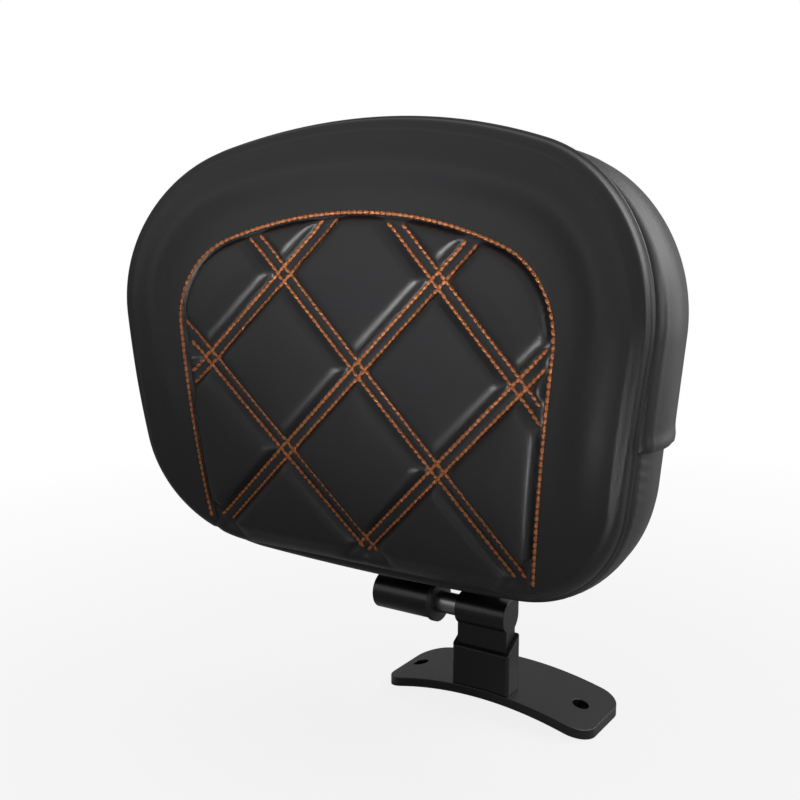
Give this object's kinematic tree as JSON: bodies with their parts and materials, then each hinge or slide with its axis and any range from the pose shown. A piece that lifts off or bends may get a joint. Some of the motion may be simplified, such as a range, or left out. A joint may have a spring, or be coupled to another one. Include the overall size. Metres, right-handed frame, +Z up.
{
  "type": "motorcycle driver backrest",
  "caption": "Driver backrest for a motorcycle: a quilted, padded pad that folds on a hinge above a flat plug-in post and an arched base plate with bolt holes.",
  "frame": {"origin": "midway between the two bolt holes of the base plate, at the middle of the plate's thickness there", "axes": "+Z up, -Y towards the rider in front of the pad, +X to the right as seen from the rider's side"},
  "size_m": [0.3272, 0.105, 0.3178],
  "materials": {
    "black_vinyl": "satin",
    "black_coat": "gloss",
    "black_oxide": "satin",
    "pin_steel": "satin",
    "zinc_steel": "satin",
    "bush_plastic": "matte",
    "plywood": "matte",
    "cushion_foam": "matte"
  },
  "bodies": {
    "base": {"base_plate": "black_coat", "receiver": "black_coat", "lock_nut": "black_coat", "lock_bolt": "black_oxide"},
    "post": {"post": "black_coat", "hinge_pin": "pin_steel", "pin_washer": "zinc_steel", "pin_clip": "zinc_steel"},
    "pad": {"hinge_tube": "black_coat", "left_bush": "bush_plastic", "right_bush": "bush_plastic", "hinge_plate": "black_coat", "bracket_bolts": "black_oxide", "tee_nuts": "zinc_steel", "back_board": "plywood", "foam_core": "cushion_foam", "back_cover": "black_vinyl", "lower_gusset": "black_vinyl", "upper_gusset": "black_vinyl", "front_border": "black_vinyl", "quilted_panel": "black_vinyl"}
  },
  "joints": [
    {"name": "post_lift", "type": "slide", "parent": "base", "child": "post", "axis": [0, 0, 1], "range_m": [0, 0.012]},
    {"name": "pad_fold", "type": "hinge", "parent": "post", "child": "pad", "pos_m": [0, -0.018, 0.051], "axis": [1, 0, 0], "range_deg": [0, 85]}
  ]
}
